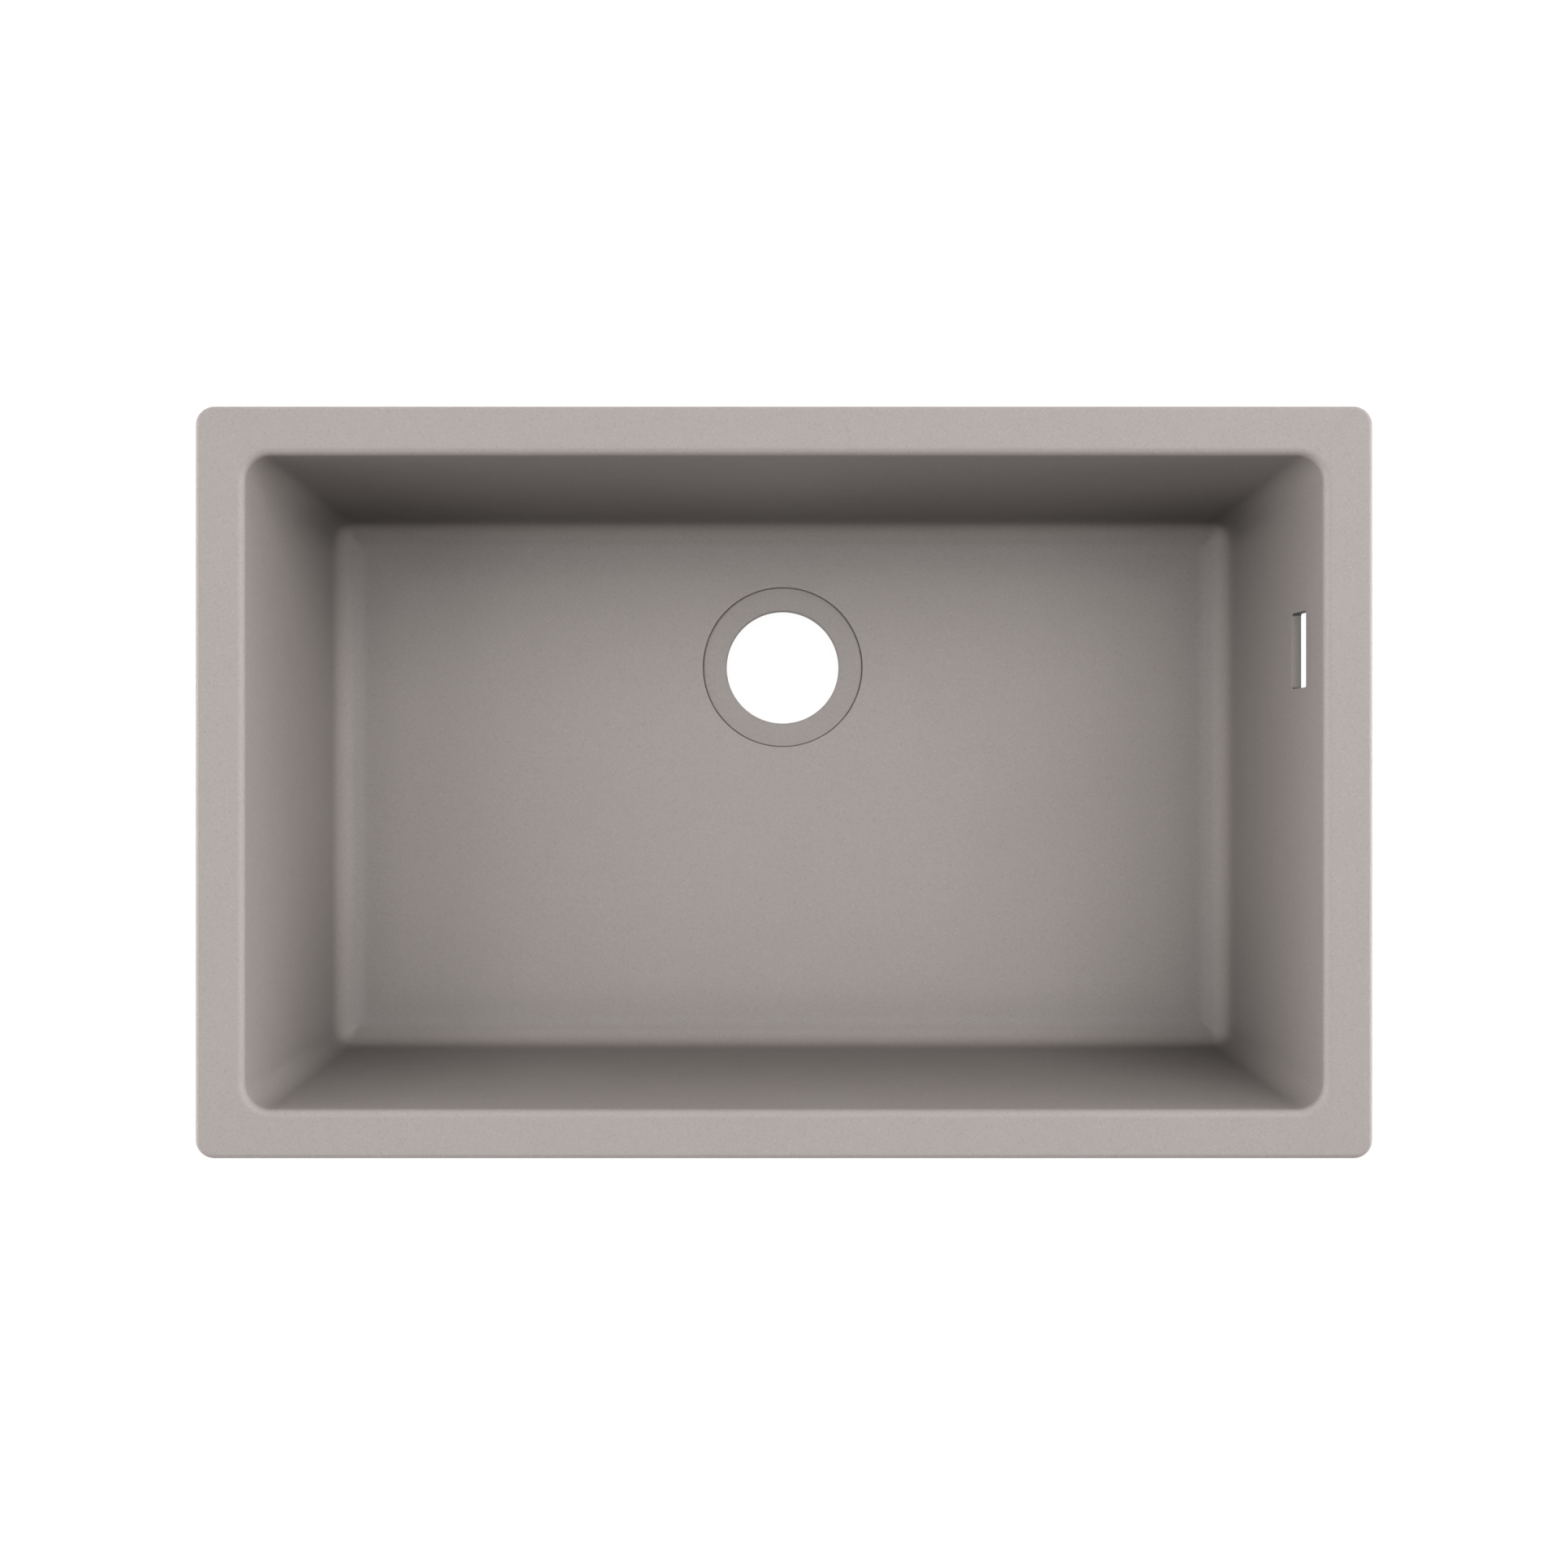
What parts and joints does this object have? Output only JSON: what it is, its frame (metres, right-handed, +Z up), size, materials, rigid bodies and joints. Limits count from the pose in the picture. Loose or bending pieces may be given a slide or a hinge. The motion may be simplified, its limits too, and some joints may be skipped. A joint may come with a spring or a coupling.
{
  "type": "undermount kitchen sink",
  "caption": "Rectangular single-bowl undermount sink in stone-grey composite, with a rear drain hole, an overflow window and swivelling fixing straps under the rim.",
  "frame": {"origin": "on the surface that the sink stands on, below the middle of the rim", "axes": "+X to the right in the picture, along the sink's length; +Y to the back, where the drain is; +Z up"},
  "size_m": [0.72, 0.46, 0.202],
  "materials": {
    "composite": "fine satin-matt, moulded",
    "zinc_steel": "zinc plated",
    "stainless": "plain",
    "brass": "turned",
    "fibre": "matt"
  },
  "bodies": {
    "sink": {"bowl": "composite", "threaded_insert_1": "brass", "gasket_washer_1": "fibre", "flat_washer_1": "stainless", "spring_washer_1": "stainless", "strap_screw_1": "stainless", "threaded_insert_2": "brass", "gasket_washer_2": "fibre", "flat_washer_2": "stainless", "spring_washer_2": "stainless", "strap_screw_2": "stainless", "threaded_insert_3": "brass", "gasket_washer_3": "fibre", "flat_washer_3": "stainless", "spring_washer_3": "stainless", "strap_screw_3": "stainless", "threaded_insert_4": "brass", "gasket_washer_4": "fibre", "flat_washer_4": "stainless", "spring_washer_4": "stainless", "strap_screw_4": "stainless", "threaded_insert_5": "brass", "gasket_washer_5": "fibre", "flat_washer_5": "stainless", "spring_washer_5": "stainless", "strap_screw_5": "stainless", "threaded_insert_6": "brass", "gasket_washer_6": "fibre", "flat_washer_6": "stainless", "spring_washer_6": "stainless", "strap_screw_6": "stainless", "threaded_insert_7": "brass", "gasket_washer_7": "fibre", "flat_washer_7": "stainless", "spring_washer_7": "stainless", "strap_screw_7": "stainless", "threaded_insert_8": "brass", "gasket_washer_8": "fibre", "flat_washer_8": "stainless", "spring_washer_8": "stainless", "strap_screw_8": "stainless"},
    "strap_1": {"fixing_strap_1": "zinc_steel"},
    "strap_2": {"fixing_strap_2": "zinc_steel"},
    "strap_3": {"fixing_strap_3": "zinc_steel"},
    "strap_4": {"fixing_strap_4": "zinc_steel"},
    "strap_5": {"fixing_strap_5": "zinc_steel"},
    "strap_6": {"fixing_strap_6": "zinc_steel"},
    "strap_7": {"fixing_strap_7": "zinc_steel"},
    "strap_8": {"fixing_strap_8": "zinc_steel"}
  },
  "joints": [
    {"name": "strap_1_pivot", "type": "hinge", "parent": "sink", "child": "strap_1", "pos_m": [0.349, -0.026, 0.1845], "axis": [0, 0, 1], "range_deg": [0, 180]},
    {"name": "strap_2_pivot", "type": "hinge", "parent": "sink", "child": "strap_2", "pos_m": [0.229, 0.219, 0.1845], "axis": [0, 0, 1], "range_deg": [0, 180]},
    {"name": "strap_3_pivot", "type": "hinge", "parent": "sink", "child": "strap_3", "pos_m": [0, 0.219, 0.1845], "axis": [0, 0, 1], "range_deg": [0, 180]},
    {"name": "strap_4_pivot", "type": "hinge", "parent": "sink", "child": "strap_4", "pos_m": [-0.229, 0.219, 0.1845], "axis": [0, 0, 1], "range_deg": [0, 180]},
    {"name": "strap_5_pivot", "type": "hinge", "parent": "sink", "child": "strap_5", "pos_m": [-0.349, 0.026, 0.1845], "axis": [0, 0, 1], "range_deg": [0, 180]},
    {"name": "strap_6_pivot", "type": "hinge", "parent": "sink", "child": "strap_6", "pos_m": [-0.229, -0.219, 0.1845], "axis": [0, 0, 1], "range_deg": [0, 180]},
    {"name": "strap_7_pivot", "type": "hinge", "parent": "sink", "child": "strap_7", "pos_m": [0, -0.219, 0.1845], "axis": [0, 0, 1], "range_deg": [0, 180]},
    {"name": "strap_8_pivot", "type": "hinge", "parent": "sink", "child": "strap_8", "pos_m": [0.229, -0.219, 0.1845], "axis": [0, 0, 1], "range_deg": [0, 180]}
  ]
}
